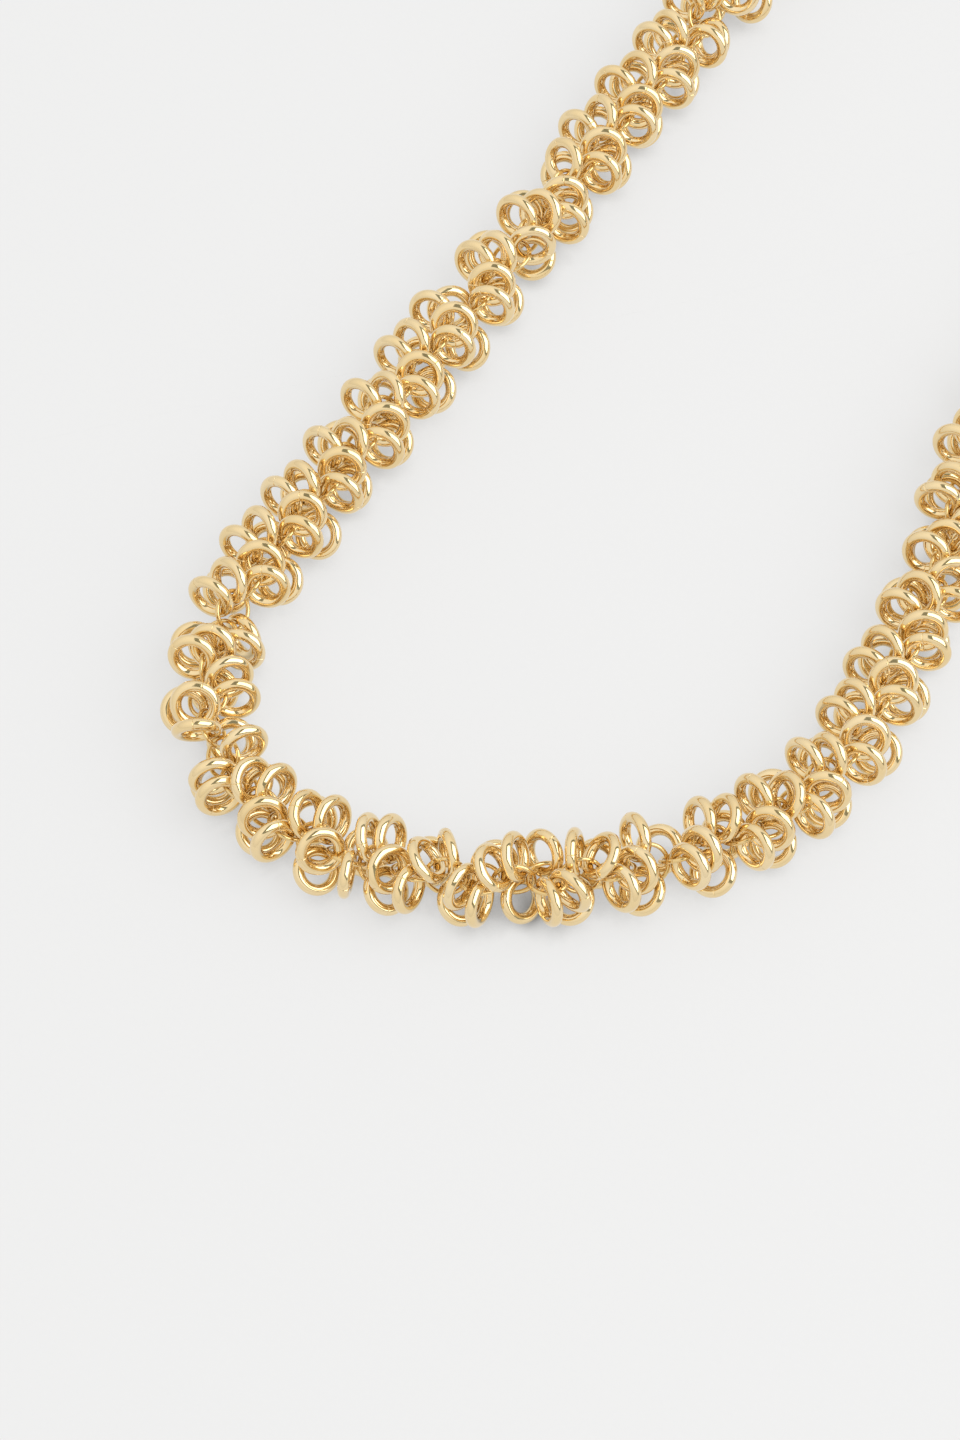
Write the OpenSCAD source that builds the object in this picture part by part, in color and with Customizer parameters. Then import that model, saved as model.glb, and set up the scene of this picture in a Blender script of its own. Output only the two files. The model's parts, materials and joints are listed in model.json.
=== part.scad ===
// Chain necklace of many thick loose rings carried on a chain of thin link rings, laid unfastened on a table.
// Millimetres, Z up, table at z = 0, both strands run toward +Y, origin under the middle of the whole piece.

/* [Rings] */
// outside diameter of a thick loose ring
ring_od = 6.0; // [5:0.1:8]
// wire diameter of a thick loose ring
ring_wire = 1.4; // [1:0.05:1.8]
// outside diameter of a thin link ring
link_od = 5.3; // [4:0.1:7]
// wire diameter of a thin link ring
link_wire = 0.55; // [0.4:0.05:1]
// thick rings threaded on every thin link
rings_per_link = 3; // [1:1:3]

/* [Chain] */
// thin links in one stretch of chain
stretch_links = 5; // [3:1:8]
// stretches of chain from clasp to end ring
stretches = 22; // [8:1:25]
// distance between the centres of two neighbouring links
pitch = 3.9; // [3:0.05:5]
// height of the chain's axis over the table
axis_h = 5.0; // [4:0.1:8]
// how far a stretch swings each way against the one before it, in degrees
swing = 10; // [0:1:20]

/* [Lie of the rings] */
// gap kept between any two pieces at rest
rest_gap = 0.10; // [0.05:0.01:0.3]
// gap kept between two stretches at full swing
swing_gap = 0.05; // [0.02:0.01:0.3]
// extra room left at first between rings of neighbouring stretches
swing_room = 0.4; // [0:0.05:1]
// starting number of the lay of the rings
lay_seed = 7; // [1:1:999]
// places tried for one ring before the rings settle
most_tries = 40; // [10:10:200]
// steps in which the rings of one stretch push each other apart
settle_steps = 200; // [10:10:300]
// first steps in which they also flop over toward lying flat
flop_steps = 40; // [0:10:100]
// share of the lying-flat direction mixed into a ring's axis in one step of the flop
flop = 0.04; // [0:0.01:0.1]

/* [Hidden] */
// which node to draw, or "all"
$fn = 48;
up = [0, 0, 1];
// plan direction the faces of the rings lean toward
front = [0.545, -0.839, 0];
// the way the axis of a flopped ring points: up, and a little toward the front
flat_way = [0.2, -0.33, 0.92];
ring_r = (ring_od - ring_wire) / 2;
link_r = (link_od - link_wire) / 2;
n_links = stretches * stretch_links;
// the laid line: pairs of run length and turn in degrees, from the clasp end
start_heading = 266;
line_start = [-28.69, 88.47, axis_h];
line = [[162, 0], [12, 12], [24, 70], [18, 32], [36, 30], [30, 45], [26, 8], [24, -22], [200, 0]];
run_ends = [for (i = 0, s = line[0][0]; i < len(line);
    i = i + 1, s = s + (i < len(line) ? line[i][0] : 0)) s];

function clamp01(x) = min(max(x, 0), 1);
function heading(s) = start_heading
    + sum([for (i = [0:len(line) - 1]) line[i][1] * clamp01((s - run_ends[i] + line[i][0]) / line[i][0])]);
function sum(v, i = 0, t = 0) = i >= len(v) ? t : sum(v, i + 1, t + v[i]);
function flat(a) = [cos(a), sin(a), 0];
// centres of all the links, one pitch apart along the laid line
centres = [for (i = 0, p = line_start; i < n_links;
    i = i + 1, p = p + pitch * flat(heading((i - 0.5) * pitch))) p];
function along(i) = flat(heading(i * pitch));
function across(i) = cross(along(i), up);
// every second link lies across the one before; the roll wanders slowly along the chain
function roll(i) = 45 + 90 * (i % 2) + 16 * sin(i * 41) + 10 * sin(i * 17);
function side_of(i) = cos(roll(i)) * across(i) + sin(roll(i)) * up;
// a ring is kept as [centre, normal, wire centre radius, wire radius, number of its link or -1]
function link(i) = [centres[i], cross(along(i), side_of(i)), link_r, link_wire / 2, i];

function unit(v) = v / norm(v);
function turned(v, a, q) = v * cos(q) + cross(a, v) * sin(q) + a * (a * v) * (1 - cos(q));
function pivot(j) = (centres[(j + 1) * stretch_links - 1] + centres[(j + 1) * stretch_links]) / 2;
function swing_axis(j) = let (i = (j + 1) * stretch_links, s = (floor(j / 2) % 2) * 2 - 1)
    s * (j % 2 == 0 ? up : unit(across(i) + across(i - 1)));
function swung(c, j, q) = [pivot(j) + turned(c[0] - pivot(j), swing_axis(j), q),
    turned(c[1], swing_axis(j), q), c[2], c[3], c[4]];

// points round a ring's wire centre line
function points_on(c, n) = let (a = unit(cross(c[1], abs(c[1].z) < 0.9 ? up : [1, 0, 0])), b = cross(c[1], a))
    [for (k = [0:n - 1]) c[0] + c[2] * (cos(360 * k / n) * a + sin(360 * k / n) * b)];
// square of the distance from a point to a ring's wire centre line
function off_circle(p, c) = let (q = p - c[0], h = q * c[1], w = sqrt(max(q * q - h * h, 0)) - c[2])
    h * h + w * w;
function nearest(points, c) = min([for (p = points) off_circle(p, c)]);
// do two rings pass through each other?
function linked(a, b) = let (h = (b[0] - a[0]) * a[1], g = a[1] - (a[1] * b[1]) * b[1], gg = g * g)
    gg < 1e-6 || h * h >= b[2] * b[2] * gg ? false
    : let (m = b[0] - (h / gg) * g, w = sqrt(b[2] * b[2] - h * h / gg) * unit(cross(b[1], g)))
        (norm(m + w - a[0]) < a[2]) != (norm(m - w - a[0]) < a[2]);
// may a ring with these points stand by another? only the link that carries it may pass through it
function stands_by(c, points, o, gap) = let (far = c[2] + o[2] + c[3] + o[3] + gap)
    norm(c[0] - o[0]) > far ? true
    : nearest(points, o) > pow(c[3] + o[3] + gap, 2) && linked(c, o) == (o[4] == c[4] && o[5] == true);
function stands_by_all(c, points, list, gap, i = 0) = i >= len(list) ? true
    : stands_by(c, points, list[i], gap) && stands_by_all(c, points, list, gap, i + 1);

// where the three rings pass through a link's hole: [along, outward], then how they stand there:
// turned back, its spread, tipped up, its spread, hung aside, its spread
slots = [
    [-0.75, 0.93, 52, 40, 8, 50, 25, 60],
    [0.75, 0.93, 0, 70, 0, 50, -25, 60],
    [0, -0.80, 40, 60, 15, 80, 0, 100]
];
// trial place j of ring k on link i
function trial(i, k, j) = let (
    v = rands(-0.5, 0.5, 6, lay_seed + 7919 * i + 613 * k + 31 * j),
    w = 0.3 + 0.7 * j / most_tries, slot = slots[k],
    facing = along(i) * front > 0 ? 1 : -1,
    side = slot[1] > 0 ? 1 : -1,
    t = facing * along(i), u = side_of(i), hand = sign(cross(t, u).z), m = hand * cross(t, u),
    q = centres[i] + (slot[0] + 0.2 * w * v[0]) * t + (slot[1] + 0.2 * w * v[1]) * u,
    psi = slot[2] + slot[3] * w * v[2],
    phi = slot[4] + slot[5] * w * v[3],
    n = cos(psi) * cos(phi) * t + sin(psi) * u + cos(psi) * sin(phi) * m,
    d = unit(side * (u - (u * n) * n)))
    [q + ring_r * turned(d, n, hand * (slot[6] + slot[7] * w * v[4])), n, ring_r, ring_wire / 2, i];
function over_table(c) = c[0].z - ring_r * sqrt(1 - c[1].z * c[1].z) - ring_wire / 2 > 0.05;
// a link as a ring of link i sees it: flagged when it is the ring's own, the only one it passes through
function own(c, i) = [c[0], c[1], c[2], c[3], c[4], c[4] == i];
function near_links(i) = [for (m = [max(i - 3, 0):min(i + 3, n_links - 1)]) own(link(m), i)];
// the push that another piece gives a ring: [force, where it acts], or none
function push(c, points, o, gap, share) = let (sep = c[3] + o[3] + gap)
    norm(c[0] - o[0]) > c[2] + o[2] + sep ? []
    : let (ds = [for (p = points) off_circle(p, o)], least = min(ds)) least > sep * sep ? []
    : let (p = points[search(least, ds)[0]], q = p - o[0], flat_q = q - (q * o[1]) * o[1],
        away = p - o[0] - o[2] * unit(flat_q))
        [share * (sep + 0.02 - norm(away)) * unit(away), p - c[0]];
function stretch_of(c) = floor(c[4] / stretch_links);
function room_between(a, b) = stretch_of(a) == stretch_of(b) ? 0 : swing_room;
function total(v, i = 0, t = [0, 0, 0]) = i >= len(v) ? t : total(v, i + 1, t + v[i]);
function settled(c, k, movers, links, swings, lean) = let (points = points_on(c, 20),
    pushes = [for (list = [[for (m = [0:len(movers) - 1]) if (m != k)
            push(c, points, movers[m], rest_gap + room_between(movers[m], c), 0.55)],
        [for (o = links) if (abs(o[4] - c[4]) < 4) push(c, points, o, rest_gap, 1)],
        [for (o = swings) push(c, points, o, swing_gap, 1)]]) each [for (f = list) if (len(f) > 0) f]],
    low = 0.1 - (c[0].z - ring_r * sqrt(1 - c[1].z * c[1].z) - ring_wire / 2),
    move = total([for (f = pushes) f[0]]) + (low > 0 ? [0, 0, low] : [0, 0, 0]),
    spin = total([for (f = pushes) cross(f[1], f[0])]) / (ring_r * ring_r))
    lean == 0 && len(pushes) == 0 && low <= 0 ? c
    : [c[0] + 0.45 * move, unit(c[1] + 0.6 * cross(spin, c[1]) + lean * sign(c[1] * flat_way) * flat_way),
        c[2], c[3], c[4]];
function settle(movers, links, swings, n) = n == 0 ? movers
    : settle([for (k = [0:len(movers) - 1])
            settled(movers[k], k, movers, links, swings, n > settle_steps - flop_steps ? flop : 0)],
        links, swings, n - 1);
// the first place tried that hangs on its own link only
function first_place(i, k, j = 0) = let (c = trial(i, k, j))
    j >= most_tries || (over_table(c) && stands_by_all(c, points_on(c, 24), near_links(i), 0)) ? c
    : first_place(i, k, j + 1);
// a ring that still touches another at the end is left out
function kept(list, links, swings, k = 0, done = []) = k >= len(list) ? done
    : let (c = list[k], near = concat([for (o = links) if (abs(o[4] - c[4]) < 4) own(o, c[4])], done),
        points = points_on(c, 36),
        ok = over_table(c) && stands_by_all(c, points, near, rest_gap / 2)
            && stands_by_all(c, points, swings, swing_gap / 2))
        kept(list, links, swings, k + 1, ok ? concat(done, [c]) : done);
function all_swings(list, j) = [for (c = list) for (q = [-swing, 0, swing]) swung(c, j, q)];
function near_joint(list, j) = [for (c = list) if (norm(c[0] - pivot(j)) < 14) c];
function links_in(a, b) = [for (i = [max(a, 0):min(b, n_links - 1)]) link(i)];
function first_rings(a, b) = [for (i = [max(a, 0):1:min(b, n_links - 1)]) for (k = [0:rings_per_link - 1])
    first_place(i, k)];
function first_link(s) = s * stretch_links;
function last_link(s) = (s + 1) * stretch_links - 1;
// every even stretch settles first, with the rings that start beside it also in play
function rings_even(s) = s < 0 || s >= stretches ? []
    : lay_stretch(s, first_rings(first_link(s), last_link(s)),
        concat(first_rings(first_link(s) - 2, first_link(s) - 1),
            first_rings(last_link(s) + 1, last_link(s) + 2)),
        [], []);
function rings_of(s) = s % 2 == 0 ? rings_even(s)
    : lay_stretch(s, first_rings(first_link(s), last_link(s)), [], rings_even(s - 1), rings_even(s + 1));
function links_of(s) = links_in(first_link(s), last_link(s));
function lay_stretch(s, own_rings, beside, before, after) = let (
    a = s > 0 ? all_swings(near_joint(concat(before, links_of(s - 1)), s - 1), s - 1) : [],
    b = s + 1 < stretches ? all_swings(near_joint(concat(after, links_of(s + 1)), s), s) : [],
    links = links_of(s),
    swings = concat(a, b, s == 0 || s == stretches - 1 ? end_guard(s) : []),
    all_links = links_in(first_link(s) - 4, last_link(s) + 4),
    moved = settle(concat(own_rings, beside), all_links, swings, settle_steps))
    kept([for (c = moved) if (stretch_of(c) == s) c], links, swings);

// the clasp end: a jump ring hangs from the first link and carries the clasp, its nose on the table
jump_r = 1.8;
jump_wire = 0.8;
jump_fall = 45;
clasp_fall = 10.4;
eye_r = 1.75;
eye_wire = 0.8;
play = 0.24;
function fallen(t, q) = cos(q) * t - sin(q) * up;
clasp_way = -along(0);
chain_end = centres[0] - link_r * along(0);
jump_centre = chain_end + (jump_r - jump_wire / 2 - link_wire / 2 - play) * fallen(clasp_way, jump_fall);
jump_normal = turned(across(0), fallen(clasp_way, jump_fall), 35);
jump_low = jump_centre + (jump_r - jump_wire / 2 - eye_wire / 2 - play) * fallen(clasp_way, jump_fall);
eye_centre = jump_low + eye_r * fallen(clasp_way, clasp_fall);
// the other end: small extender rings run down to the table and end in a bead
ext_r = 1.6;
ext_wire = 0.8;
ext_pitch = 2 * ext_r - ext_wire - 0.2;
ext_falls = [48, 28, 4, 0, 0, 0];
ext_way = along(n_links - 1);
bead_r = 1.6;
bead_eye_r = 1.1;
bead_eye_wire = 0.7;
last_end = centres[n_links - 1] + link_r * ext_way;
ext_centres = [for (k = 0,
    p = last_end + (ext_r - ext_wire / 2 - link_wire / 2 - play) * fallen(ext_way, ext_falls[0]);
    k < len(ext_falls); p = p + ext_pitch * fallen(ext_way, ext_falls[k]), k = k + 1) p];
function ext_dir(k) = k == 0 ? fallen(ext_way, ext_falls[0])
    : unit(ext_centres[min(k + 1, len(ext_falls) - 1)] - ext_centres[k - 1]);
function ext_normal(k) = turned(across(n_links - 1), ext_dir(k), 45 - 90 * (k % 2));
bead_eye = ext_centres[len(ext_falls) - 1]
    + (ext_r + bead_eye_r - ext_wire / 2 - bead_eye_wire / 2 - 0.2) * ext_way;
// rings beside the chain's two ends, kept clear by the thick rings
function end_guard(s) = [for (q = [-15, 0, 15]) s == 0
    ? [chain_end + turned(jump_centre - chain_end, across(0), q), turned(jump_normal, across(0), q),
        jump_r, jump_wire / 2, -9]
    : [last_end + turned(ext_centres[0] - last_end, across(n_links - 1), q),
        turned(ext_normal(0), across(n_links - 1), q), ext_r, ext_wire / 2, -9]];

// clasp: eye at the origin, nose toward +X, flat in XY
hook = [8.2, 0];
hook_r = 2.7;
hook_wire = 1.6;
hook_ball_d = 2.0;
hook_tip_at = 42;
tail_wire = 3.0;
neck_d = 1.9;
neck_l = 1.4;
pin_at = [4.9, 1.3];
pin_d = 0.8;
pin_gap = 0.02;
cheek_r = 1.3;
clasp_t = 2.6;
slot_t = 1.3;
hub_r = 0.95;
lever_t = 1.2;
lever_r = 2.6;
lever_wire = 1.0;
lever_centre = [7.85, -0.25];

module ring_at(c)
    translate(c[0])
        rotate([0, acos(c[1].z), atan2(c[1].y, c[1].x)])
            rotate_extrude()
                translate([c[2], 0])
                    circle(r = c[3]);
module arc(r, wire, from, sweep)
    rotate([0, 0, from])
        rotate_extrude(angle = sweep)
            translate([r, 0])
                circle(d = wire);
module links(s)
    color([0.93, 0.8, 0.55])
        for (c = links_of(s))
            ring_at(c);
module rings(s)
    color([0.95, 0.84, 0.6])
        for (c = rings_of(s))
            ring_at(c);
module clasp_ring()
    color([0.93, 0.8, 0.55])
        ring_at([jump_centre, jump_normal, jump_r, jump_wire / 2]);
module in_clasp_place()
    translate(eye_centre)
        rotate([0, clasp_fall, atan2(clasp_way.y, clasp_way.x)])
            children();
module clasp_body()
    color([0.94, 0.82, 0.58])
        in_clasp_place()
            difference() {
                union() {
                    arc(eye_r, eye_wire, 0, 360);
                    translate([eye_r, 0, 0])
                        rotate([0, 90, 0])
                            cylinder(d1 = neck_d, d2 = tail_wire, h = neck_l);
                    translate([eye_r + neck_l, 0, 0])
                        rotate([0, 90, 0])
                            cylinder(d = tail_wire, h = pin_at.x - eye_r - neck_l);
                    translate([pin_at.x, 0, 0])
                        sphere(d = tail_wire);
                    translate(pin_at)
                        cylinder(r = cheek_r, h = clasp_t, center = true);
                    translate(hook)
                        arc(hook_r, hook_wire, -172, 172 + hook_tip_at);
                    translate([hook.x + hook_r * cos(hook_tip_at), hook_r * sin(hook_tip_at), 0])
                        sphere(d = hook_ball_d);
                }
                lever_slot();
                translate(pin_at)
                    cylinder(d = pin_d + 2 * pin_gap, h = clasp_t + 1, center = true);
            }
module lever_slot()
    linear_extrude(slot_t, center = true) {
        translate(pin_at)
            circle(r = cheek_r + 0.1);
        translate([pin_at.x, -0.3])
            square([3, 4]);
    }
module clasp_trigger()
    color([0.94, 0.82, 0.58])
        in_clasp_place()
            difference() {
                union() {
                    translate(pin_at)
                        cylinder(r = hub_r, h = lever_t, center = true);
                    translate(lever_centre)
                        arc(lever_r, lever_wire, 66, 84);
                    translate(pin_at)
                        rotate([0, 0, 25])
                            translate([-0.45, 0.4, -lever_t / 2])
                                cube([0.9, 1.9, lever_t]);
                    translate(pin_at)
                        rotate([0, 0, 25])
                            translate([0, 2.3, 0])
                                cylinder(r = 0.6, h = lever_t, center = true);
                }
                translate(pin_at)
                    cylinder(d = pin_d + 2 * pin_gap, h = clasp_t + 1, center = true);
            }
module clasp_pin()
    color([0.9, 0.78, 0.52])
        in_clasp_place()
            translate(pin_at)
                cylinder(d = pin_d, h = clasp_t, center = true);
module clasp_spring()
    color([0.75, 0.75, 0.78])
        in_clasp_place()
            translate([pin_at.x, pin_at.y, -0.5])
                rotate([0, 0, 190])
                    rotate_extrude(angle = 80)
                        translate([1.1, 0])
                            square([0.2, 1]);
module extender_ring(k)
    color([0.93, 0.8, 0.55])
        ring_at([ext_centres[k], ext_normal(k), ext_r, ext_wire / 2]);
module end_bead()
    color([0.95, 0.84, 0.6]) {
        ring_at([bead_eye, turned(across(n_links - 1), ext_way, 45), bead_eye_r, bead_eye_wire / 2]);
        translate(bead_eye + (bead_eye_r + bead_r - 0.2) * ext_way)
            sphere(r = bead_r);
    }

links(0);  // links_00
rings(0);  // rings_00
links(1);  // links_01
rings(1);  // rings_01
links(2);  // links_02
rings(2);  // rings_02
links(3);  // links_03
rings(3);  // rings_03
links(4);  // links_04
rings(4);  // rings_04
links(5);  // links_05
rings(5);  // rings_05
links(6);  // links_06
rings(6);  // rings_06
links(7);  // links_07
rings(7);  // rings_07
links(8);  // links_08
rings(8);  // rings_08
links(9);  // links_09
rings(9);  // rings_09
links(10);  // links_10
rings(10);  // rings_10
links(11);  // links_11
rings(11);  // rings_11
links(12);  // links_12
rings(12);  // rings_12
links(13);  // links_13
rings(13);  // rings_13
links(14);  // links_14
rings(14);  // rings_14
links(15);  // links_15
rings(15);  // rings_15
links(16);  // links_16
rings(16);  // rings_16
links(17);  // links_17
rings(17);  // rings_17
links(18);  // links_18
rings(18);  // rings_18
links(19);  // links_19
rings(19);  // rings_19
links(20);  // links_20
rings(20);  // rings_20
links(21);  // links_21
rings(21);  // rings_21
clasp_ring();
clasp_body();
clasp_trigger();
clasp_pin();
clasp_spring();
extender_ring(0);  // extender_ring_1
extender_ring(1);  // extender_ring_2
extender_ring(2);  // extender_ring_3
extender_ring(3);  // extender_ring_4
extender_ring(4);  // extender_ring_5
extender_ring(5);  // extender_ring_6
end_bead();
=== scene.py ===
"""Looks of the chain necklace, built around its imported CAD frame. Metres, Z up, the table at z = 0."""

import json
import math
import random

import bpy
import numpy as np
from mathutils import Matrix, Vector


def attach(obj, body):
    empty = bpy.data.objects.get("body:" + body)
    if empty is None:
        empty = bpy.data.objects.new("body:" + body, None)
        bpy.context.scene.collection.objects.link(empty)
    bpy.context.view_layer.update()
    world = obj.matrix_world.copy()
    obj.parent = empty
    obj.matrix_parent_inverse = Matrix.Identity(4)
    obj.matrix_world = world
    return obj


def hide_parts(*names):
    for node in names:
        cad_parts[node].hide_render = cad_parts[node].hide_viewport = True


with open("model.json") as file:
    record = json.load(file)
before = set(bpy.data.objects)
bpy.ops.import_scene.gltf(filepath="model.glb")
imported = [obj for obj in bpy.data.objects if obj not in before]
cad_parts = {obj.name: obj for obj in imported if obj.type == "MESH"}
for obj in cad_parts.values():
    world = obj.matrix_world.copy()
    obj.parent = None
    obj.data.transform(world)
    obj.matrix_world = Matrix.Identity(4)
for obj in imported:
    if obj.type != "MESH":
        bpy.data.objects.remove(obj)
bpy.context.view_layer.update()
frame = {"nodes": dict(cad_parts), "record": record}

MM = 0.001
SEED = 41

# The camera's look: turn and height in degrees, the point looked at, distance and lens.
CAMERA_AZIMUTH = -58.56
CAMERA_ELEVATION = 68.0
LOOK_AT = Vector((-7.71, -79.01, 4.0)) * MM
CAMERA_DISTANCE = 0.400
LENS_MM = 85.0


# ---------------------------------------------------------------- rings read from the frame

FIT_POINTS = 500
FIT_STEPS = 8
STRAY_POINTS = 8


def square_to(axis):
    """Two directions square to the axis and to each other."""
    side = np.cross(axis, (1, 0, 0) if abs(axis[0]) < 0.8 else (0, 1, 0))
    side /= np.linalg.norm(side)
    return side, np.cross(axis, side)


def solids_of(node):
    """The vertices of each solid of a CAD node, in the order in which the node holds them."""
    mesh = frame["nodes"][node].data
    points = np.empty(len(mesh.vertices) * 3)
    mesh.vertices.foreach_get("co", points)
    points = points.reshape(-1, 3)
    mesh.calc_loop_triangles()
    corners = np.empty(len(mesh.loop_triangles) * 3, np.int64)
    mesh.loop_triangles.foreach_get("vertices", corners)
    corners = corners.reshape(-1, 3)
    # a solid's points are one run, and a run ends where no triangle reaches from before it to after it
    joined = np.zeros(len(points) + 1, np.int64)
    np.add.at(joined, corners.min(1), 1)
    np.add.at(joined, corners.max(1), -1)
    ends = np.flatnonzero(np.cumsum(joined)[: len(points)] == 0) + 1
    pieces = np.split(points, ends)
    return [piece for piece in pieces if len(piece) > STRAY_POINTS]


def fit_ring(points):
    """Centre, axis, wire-centre radius and wire radius of the torus through the points."""
    points = points[:: max(1, len(points) // FIT_POINTS)]
    centre = points.mean(0)
    axis = np.linalg.svd(points - centre, full_matrices=False)[2][2]
    offset = points - centre
    out = np.linalg.norm(offset - np.outer(offset @ axis, axis), axis=1)
    big, small = (out.max() + out.min()) / 2, (out.max() - out.min()) / 2
    # least squares, each step moving, leaning and resizing the torus a little
    for _ in range(FIT_STEPS):
        side, other = square_to(axis)
        offset = points - centre
        height = offset @ axis
        radial = offset - np.outer(height, axis)
        out = np.linalg.norm(radial, axis=1)
        away = np.hypot(height, out - big)
        lean = height * big / (out * away)
        slope = np.column_stack(
            [
                -(height / away)[:, None] * axis - ((out - big) / (away * out))[:, None] * radial,
                lean * (offset @ side),
                lean * (offset @ other),
                -(out - big) / away,
                -np.ones(len(points)),
            ]
        )
        step = np.linalg.lstsq(slope, small - away, rcond=None)[0]
        centre = centre + step[:3]
        axis = axis + step[3] * side + step[4] * other
        axis /= np.linalg.norm(axis)
        big, small = big + step[5], small + step[6]
    return centre, axis, big, small


# ---------------------------------------------------------------- rings as bent and closed wire

SEAM_GROOVE = 0.035 * MM
SEAM_STEP_ACROSS = 0.018 * MM
SEAM_STEP_OUT = 0.010 * MM


def seam_stations(around, radius):
    """Angles round a ring, close together at its butt seam, and how full the wire is at each."""
    groove = SEAM_GROOVE / radius
    seam = [(-2.6 * groove, 1.0), (-groove, 0.996), (-0.35 * groove, 0.93), (0.0, 0.90)]
    seam += [(-angle, full) for angle, full in reversed(seam[:3])]
    first = seam[-1][0]
    rest = np.linspace(first, 2 * math.pi - first, around, endpoint=False)[1:]
    stations = seam + [(angle, 1.0) for angle in rest]
    return np.array([s[0] for s in stations]), np.array([s[1] for s in stations])


# how far the drawn lines may slide from ring to ring, so that no two rings show the same ones
LINE_SHIFT = 50


def ring_piece(name, rings, around, section, material, draw):
    """One mesh of closed wire rings, each with its butt seam at its own place."""
    points, faces, maps, tints = [], [], [], []
    start = 0
    for centre, axis, big, small in rings:
        stations, fullness = seam_stations(around, big)
        turn = draw.uniform(0, 2 * math.pi)
        step_across = draw.uniform(-SEAM_STEP_ACROSS, SEAM_STEP_ACROSS)
        step_out = draw.uniform(-SEAM_STEP_OUT, SEAM_STEP_OUT)
        tint = draw.random()
        side, other = square_to(axis)
        count = len(stations)
        # the two cut ends stand a hair apart, and the wire takes that up all round the ring
        share = (stations / (2 * math.pi)) % 1.0 - 0.5
        share[stations == 0] = 0.0
        out = np.cos(stations + turn)[:, None] * side + np.sin(stations + turn)[:, None] * other
        wire = np.linspace(0, 2 * math.pi, section, endpoint=False)
        radius = (small * fullness)[:, None]
        reach = big + (share * step_out)[:, None] + radius * np.cos(wire)[None, :]
        lift = (share * step_across)[:, None] + radius * np.sin(wire)[None, :]
        grid = centre + reach[:, :, None] * out[:, None, :] + lift[:, :, None] * axis
        points.append(grid.reshape(-1, 3))
        i, k = np.meshgrid(np.arange(count), np.arange(section), indexing="ij")
        i2, k2 = (i + 1) % count, (k + 1) % section
        quads = np.stack([i * section + k, i2 * section + k, i2 * section + k2, i * section + k2], -1)
        faces.append(quads.reshape(-1, 4) + start)
        along = np.append(stations, stations[0] + 2 * math.pi) * big / MM
        round_wire = np.linspace(0, 2 * math.pi, section + 1) * small / MM
        corner_u = np.stack([along[i], along[i + 1], along[i + 1], along[i]], -1)
        corner_v = np.stack([round_wire[k], round_wire[k], round_wire[k + 1], round_wire[k + 1]], -1)
        maps.append(np.stack([corner_u, corner_v], -1).reshape(-1, 2) + LINE_SHIFT * tint)
        tints.append(np.full(count * section, tint))
        start += count * section
    mesh = bpy.data.meshes.new(name)
    mesh.from_pydata(np.concatenate(points).tolist(), [], np.concatenate(faces).tolist())
    layer = mesh.uv_layers.new(name="wire")
    layer.data.foreach_set("uv", np.concatenate(maps).astype(np.float32).ravel())
    tone = mesh.attributes.new("tint", "FLOAT", "POINT")
    tone.data.foreach_set("value", np.concatenate(tints).astype(np.float32))
    mesh.polygons.foreach_set("use_smooth", np.ones(len(mesh.polygons), bool))
    mesh.materials.append(material)
    mesh.update()
    piece = bpy.data.objects.new(name, mesh)
    bpy.context.scene.collection.objects.link(piece)
    return piece


# ---------------------------------------------------------------- materials

PALE_GOLD = (0.907, 0.735, 0.447)
DEEP_GOLD = (0.86, 0.655, 0.335)
# the thin links' own gold, made deeper than the rings' gold as painted shade for the gaps between the
# rings where the links lie
PALE_LINK_GOLD_PAINTED_SHADE = (0.83, 0.62, 0.30)
DEEP_LINK_GOLD_PAINTED_SHADE = (0.77, 0.545, 0.22)
CAST_GOLD = (0.90, 0.72, 0.41)
WARMER = (1.0, 0.975, 0.92)
MOST_WARMTH = 0.55
DARK_STEEL, PALE_STEEL = (0.46, 0.46, 0.48), (0.68, 0.68, 0.70)
DARK_PAPER, PALE_PAPER = (0.160, 0.160, 0.161), (0.173, 0.173, 0.174)
# the table film's painted glow, and how far from the chain its painted shade reaches
PAPER_PAINTED_GLOW = 0.625
PAINTED_SHADE_REACH = 4 * MM
OPEN_PAPER, COVERED_PAPER = 0.84, 0.22

# noise cells in a metre
CLOUDS, WAVES, SMEARS, TOOTH = 260, 420, 900, 1500
CAST_LINES, CAST_LINES_TURN = (400, 6000, 6000), (0.3, 0.2, 0.9)
ROLLED_LINES = (700, 700, 9000)
# noise cells in a millimetre, along the wire and around it
DRAWN_LINES = (0.5, 14, 1)

WAVE_DEPTH = 0.010 * MM
SCRATCH_DEPTH = 0.0016 * MM
ROLLED_DEPTH = 0.002 * MM
TOOTH_DEPTH = 0.02 * MM

# the colour sockets of a Mix node
MIX_FIRST, MIX_SECOND, MIX_RESULT = 6, 7, 2


def nodes_of(name):
    material = bpy.data.materials.new(name)
    material.use_nodes = True
    tree = material.node_tree
    shader = tree.nodes["Principled BSDF"]
    return material, tree, shader


def noise(tree, where, scale, detail=2.0, roughness=0.5):
    node = tree.nodes.new("ShaderNodeTexNoise")
    node.inputs["Scale"].default_value = scale
    node.inputs["Detail"].default_value = detail
    node.inputs["Roughness"].default_value = roughness
    tree.links.new(where, node.inputs["Vector"])
    return node.outputs["Fac"]


def mapped(tree, value, low, high, from_low=0.3, from_high=0.7):
    node = tree.nodes.new("ShaderNodeMapRange")
    limits = {"From Min": from_low, "From Max": from_high, "To Min": low, "To Max": high}
    for socket, number in limits.items():
        node.inputs[socket].default_value = number
    tree.links.new(value, node.inputs["Value"])
    return node.outputs["Result"]


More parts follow.
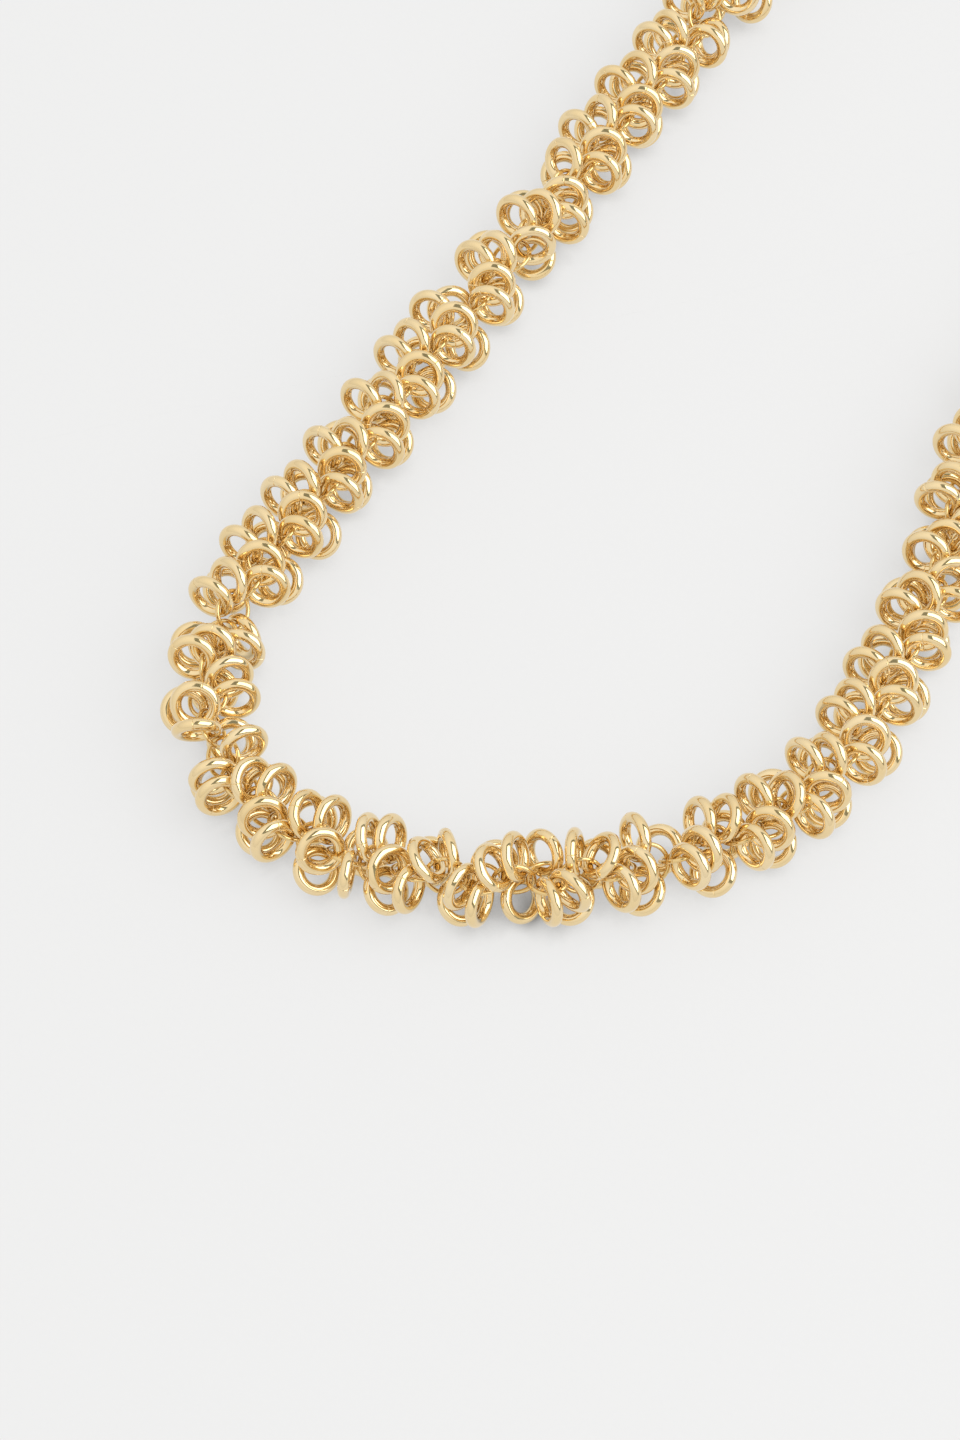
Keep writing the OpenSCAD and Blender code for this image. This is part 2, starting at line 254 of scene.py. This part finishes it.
def mixed(tree, factor, first, second):
    node = tree.nodes.new("ShaderNodeMix")
    node.data_type = "RGBA"
    tree.links.new(factor, node.inputs["Factor"])
    for socket, colour in ((node.inputs[MIX_FIRST], first), (node.inputs[MIX_SECOND], second)):
        if isinstance(colour, tuple):
            socket.default_value = (*colour, 1)
        else:
            tree.links.new(colour, socket)
    return node.outputs[MIX_RESULT]


def bumped(tree, height, distance, strength, before=None):
    node = tree.nodes.new("ShaderNodeBump")
    node.inputs["Strength"].default_value = strength
    node.inputs["Distance"].default_value = distance
    tree.links.new(height, node.inputs["Height"])
    if before is not None:
        tree.links.new(before, node.inputs["Normal"])
    return node.outputs["Normal"]


def gold(name, pale, deep, smooth, worn, wire=False):
    """Polished, lacquered gold plate: cloudy tone, soft waves from tumbling, and fine lines.

    Wire has drawn lines along it and a tone of its own for each ring, and a cast piece has hairlines.
    """
    material, tree, shader = nodes_of(name)
    shader.inputs["Metallic"].default_value = 1.0
    shader.inputs["Coat Weight"].default_value = 0.9
    shader.inputs["Coat Roughness"].default_value = 0.06
    place = tree.nodes.new("ShaderNodeTexCoord").outputs["Object"]
    colour = mixed(tree, mapped(tree, noise(tree, place, CLOUDS, 3), 0, 1), pale, deep)
    if wire:
        tint = tree.nodes.new("ShaderNodeAttribute")
        tint.attribute_name = "tint"
        warm = tuple(part * change for part, change in zip(deep, WARMER))
        colour = mixed(tree, mapped(tree, tint.outputs["Fac"], 0, MOST_WARMTH, 0, 1), colour, warm)
    tree.links.new(colour, shader.inputs["Base Color"])
    smear = noise(tree, place, SMEARS, 4, 0.6)
    tree.links.new(mapped(tree, smear, smooth, worn), shader.inputs["Roughness"])
    normal = bumped(tree, noise(tree, place, WAVES, 1), WAVE_DEPTH, 0.5)
    stretch = tree.nodes.new("ShaderNodeMapping")
    if wire:
        unrolled = tree.nodes.new("ShaderNodeUVMap")
        unrolled.uv_map = "wire"
        tree.links.new(unrolled.outputs["UV"], stretch.inputs["Vector"])
        stretch.inputs["Scale"].default_value = DRAWN_LINES
        lines = noise(tree, stretch.outputs["Vector"], 1.0, 3)
    else:
        tree.links.new(place, stretch.inputs["Vector"])
        stretch.inputs["Rotation"].default_value = CAST_LINES_TURN
        stretch.inputs["Scale"].default_value = CAST_LINES
        lines = noise(tree, stretch.outputs["Vector"], 1.0, 2)
    tree.links.new(bumped(tree, lines, SCRATCH_DEPTH, 0.5, normal), shader.inputs["Normal"])
    return material


def steel(name):
    """Plain spring steel with the lines of its rolling."""
    material, tree, shader = nodes_of(name)
    shader.inputs["Metallic"].default_value = 1.0
    place = tree.nodes.new("ShaderNodeTexCoord").outputs["Object"]
    stretch = tree.nodes.new("ShaderNodeMapping")
    stretch.inputs["Scale"].default_value = ROLLED_LINES
    tree.links.new(place, stretch.inputs["Vector"])
    lines = noise(tree, stretch.outputs["Vector"], 1.0, 4)
    tree.links.new(mixed(tree, lines, DARK_STEEL, PALE_STEEL), shader.inputs["Base Color"])
    tree.links.new(mapped(tree, lines, 0.24, 0.38), shader.inputs["Roughness"])
    tree.links.new(bumped(tree, lines, ROLLED_DEPTH, 0.6), shader.inputs["Normal"])
    return material


def paper(name):
    """The plain pale table top: a white film with a very fine tooth, most of whose brightness is a
    painted glow.

    The painted glow fades where something close above covers it, a painted shade that stays near the
    chain.
    """
    material, tree, shader = nodes_of(name)
    place = tree.nodes.new("ShaderNodeTexCoord").outputs["Object"]
    tooth = noise(tree, place, TOOTH, 4, 0.6)
    tree.links.new(mixed(tree, tooth, DARK_PAPER, PALE_PAPER), shader.inputs["Base Color"])
    tree.links.new(bumped(tree, tooth, TOOTH_DEPTH, 0.2), shader.inputs["Normal"])
    shader.inputs["Roughness"].default_value = 0.7
    shader.inputs["Specular IOR Level"].default_value = 0.2
    # painted light: the film glows though no lamp lights it
    shader.inputs["Emission Color"].default_value = (1.0, 1.0, 0.995, 1)
    # painted shade: ambient occlusion dims the painted glow, so the film darkens under and near the
    # chain
    painted_shade_cover = tree.nodes.new("ShaderNodeAmbientOcclusion")
    painted_shade_cover.inputs["Distance"].default_value = PAINTED_SHADE_REACH
    painted_glow_and_shade = mapped(tree, painted_shade_cover.outputs["AO"], 0, PAPER_PAINTED_GLOW, COVERED_PAPER, OPEN_PAPER)
    tree.links.new(painted_glow_and_shade, shader.inputs["Emission Strength"])
    return material


thick_gold = gold("thick_ring_gold", PALE_GOLD, DEEP_GOLD, 0.07, 0.13, wire=True)
# the thin links' gold carries painted shade: it is darker than their own gold
thin_gold_painted_shade = gold("thin_ring_gold_painted_shade", PALE_LINK_GOLD_PAINTED_SHADE, DEEP_LINK_GOLD_PAINTED_SHADE, 0.09, 0.16, wire=True)
cast_gold = gold("cast_gold", CAST_GOLD, DEEP_GOLD, 0.09, 0.18)
spring_steel = steel("spring_steel")
table_paper = paper("table_paper")


# ---------------------------------------------------------------- the pieces

# how many points go round a ring and round its wire
THICK_AROUND, THICK_SECTION = 60, 24
THIN_AROUND, THIN_SECTION = 48, 14

groups = frame["record"]["behaviour"]["bodies"]
body_of = {node: body for body, group in groups.items() for node in group}
draw = random.Random(SEED)


def stand_for(piece, node):
    """The piece takes the node's place, on the node's own body."""
    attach(piece, body_of[node])
    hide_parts(node)


def wire_rings(node, name, around, section, material):
    """All rings of a node, built anew as closed wire at the places the frame gives."""
    rings = [fit_ring(points) for points in solids_of(node)]
    stand_for(ring_piece(name, rings, around, section, material, draw), node)


for node in sorted(frame["nodes"]):
    if node.startswith("rings_"):
        wire_rings(node, "thick_" + node, THICK_AROUND, THICK_SECTION, thick_gold)
    elif node.startswith("links_"):
        wire_rings(node, "thin_" + node, THIN_AROUND, THIN_SECTION, thin_gold_painted_shade)
    elif node.startswith("extender_ring_") or node == "clasp_ring":
        wire_rings(node, node + "_wire", THICK_AROUND, THICK_SECTION, thin_gold_painted_shade)


WELD_REACH = 0.0005 * MM


def cast_piece(node, name, material, voxel, smoothing):
    """A cast piece: the CAD shape with its edges rounded off as casting and tumbling leave them."""
    source = frame["nodes"][node]
    piece = bpy.data.objects.new(name, source.data.copy())
    bpy.context.scene.collection.objects.link(piece)
    piece.data.materials.clear()
    piece.data.materials.append(material)
    weld = piece.modifiers.new("weld", "WELD")
    weld.merge_threshold = WELD_REACH
    remesh = piece.modifiers.new("remesh", "REMESH")
    remesh.mode = "VOXEL"
    remesh.voxel_size = voxel
    remesh.use_smooth_shade = True
    smooth = piece.modifiers.new("smooth", "SMOOTH")
    smooth.factor = 0.5
    smooth.iterations = smoothing
    graph = bpy.context.evaluated_depsgraph_get()
    made = bpy.data.meshes.new_from_object(piece.evaluated_get(graph), depsgraph=graph)
    piece.modifiers.clear()
    piece.data = made
    stand_for(piece, node)


cast_piece("clasp_body", "clasp_body_cast", cast_gold, 0.07 * MM, 4)
cast_piece("clasp_trigger", "clasp_trigger_cast", cast_gold, 0.05 * MM, 4)
cast_piece("end_bead", "end_bead_cast", cast_gold, 0.06 * MM, 3)

# the pin and the spring keep their CAD shapes
for node, material, slot in (
    ("clasp_pin", cast_gold, "clasp"),
    ("clasp_spring", spring_steel, "spring"),
):
    kept = frame["nodes"][node]
    kept.data.materials.clear()
    kept.data.materials.append(material)


# ---------------------------------------------------------------- table, light and camera

FLOOR_SIZE = 8.0
KEY_DISTANCE, KEY_SIZE, KEY_POWER = 1.1, 1.2, 10.4
CARD_DISTANCE = 1.3 * KEY_DISTANCE
CARD_WIDTH, CARD_HEIGHT = 2.35, 2.75
CARD_COLOUR = (0.33, 0.34, 0.29, 1)
WALL_GLOW, CEILING_GLOW = 0.80, 1.08

def direction(azimuth, elevation):
    """The unit direction at these degrees round from +X and up from the table."""
    a, e = math.radians(azimuth), math.radians(elevation)
    return Vector((math.cos(e) * math.cos(a), math.cos(e) * math.sin(a), math.sin(e)))


def card(name, width, height, place, aim, material):
    """A flat card in the studio that faces the point aim."""
    mesh = bpy.data.meshes.new(name)
    w, h = width / 2, height / 2
    mesh.from_pydata([(-w, -h, 0), (w, -h, 0), (w, h, 0), (-w, h, 0)], [], [(0, 1, 2, 3)])
    mesh.materials.append(material)
    made = bpy.data.objects.new(name, mesh)
    bpy.context.scene.collection.objects.link(made)
    made.location = place
    if aim is not None:
        made.rotation_mode = "QUATERNION"
        made.rotation_quaternion = (place - aim).to_track_quat("Z", "Y")
    return made


card("floor", FLOOR_SIZE, FLOOR_SIZE, Vector((0, 0, 0)), None, table_paper)

to_camera = direction(CAMERA_AZIMUTH, CAMERA_ELEVATION)
picture_right = Vector((0, 0, 1)).cross(to_camera).normalized()
picture_up = to_camera.cross(picture_right)


def beside_camera(right, up):
    """The direction turned from the camera's by so many degrees to the picture's right and up."""
    r, u = math.tan(math.radians(right)), math.tan(math.radians(up))
    return (to_camera + r * picture_right + u * picture_up).normalized()


def softbox(name, towards, distance, size, power):
    """A square soft light that faces the point looked at."""
    light = bpy.data.lights.new(name, "AREA")
    light.shape = "RECTANGLE"
    light.size, light.size_y = size, size
    light.energy = power
    made = bpy.data.objects.new(name, light)
    bpy.context.scene.collection.objects.link(made)
    made.location = LOOK_AT + distance * towards
    made.rotation_mode = "QUATERNION"
    made.rotation_quaternion = towards.to_track_quat("Z", "Y")
    made.visible_camera = False


softbox("key_softbox", beside_camera(44, 16), KEY_DISTANCE, KEY_SIZE, KEY_POWER)

# a grey-green card behind the softbox, which only the gold's reflections see
card_grey, _, card_shader = nodes_of("dark_card")
card_shader.inputs["Base Color"].default_value = CARD_COLOUR
card_shader.inputs["Roughness"].default_value = 1.0
card_place = LOOK_AT + CARD_DISTANCE * beside_camera(39, 16)
dark_card = card("dark_card", CARD_WIDTH, CARD_HEIGHT, card_place, LOOK_AT, card_grey)
for ray in ("camera", "diffuse", "shadow", "transmission", "volume_scatter"):
    setattr(dark_card, "visible_" + ray, False)

# a pale room, its walls a little darker than its ceiling
world = bpy.data.worlds.new("studio")
world.use_nodes = True
sky = world.node_tree
background = sky.nodes["Background"]
background.inputs["Color"].default_value = (1.0, 0.995, 0.985, 1)
upward = sky.nodes.new("ShaderNodeSeparateXYZ")
sky.links.new(sky.nodes.new("ShaderNodeTexCoord").outputs["Generated"], upward.inputs["Vector"])
room_glow = mapped(sky, upward.outputs["Z"], WALL_GLOW, CEILING_GLOW, 0, 1)
sky.links.new(room_glow, background.inputs["Strength"])
bpy.context.scene.world = world
bpy.context.scene.view_settings.view_transform = "Standard"

camera_data = bpy.data.cameras.new("camera")
camera_data.lens = LENS_MM
camera_data.clip_start, camera_data.clip_end = 0.01, 20
camera = bpy.data.objects.new("camera", camera_data)
bpy.context.scene.collection.objects.link(camera)
camera.location = LOOK_AT + CAMERA_DISTANCE * to_camera
camera.rotation_mode = "QUATERNION"
camera.rotation_quaternion = to_camera.to_track_quat("Z", "Y")
bpy.context.scene.camera = camera
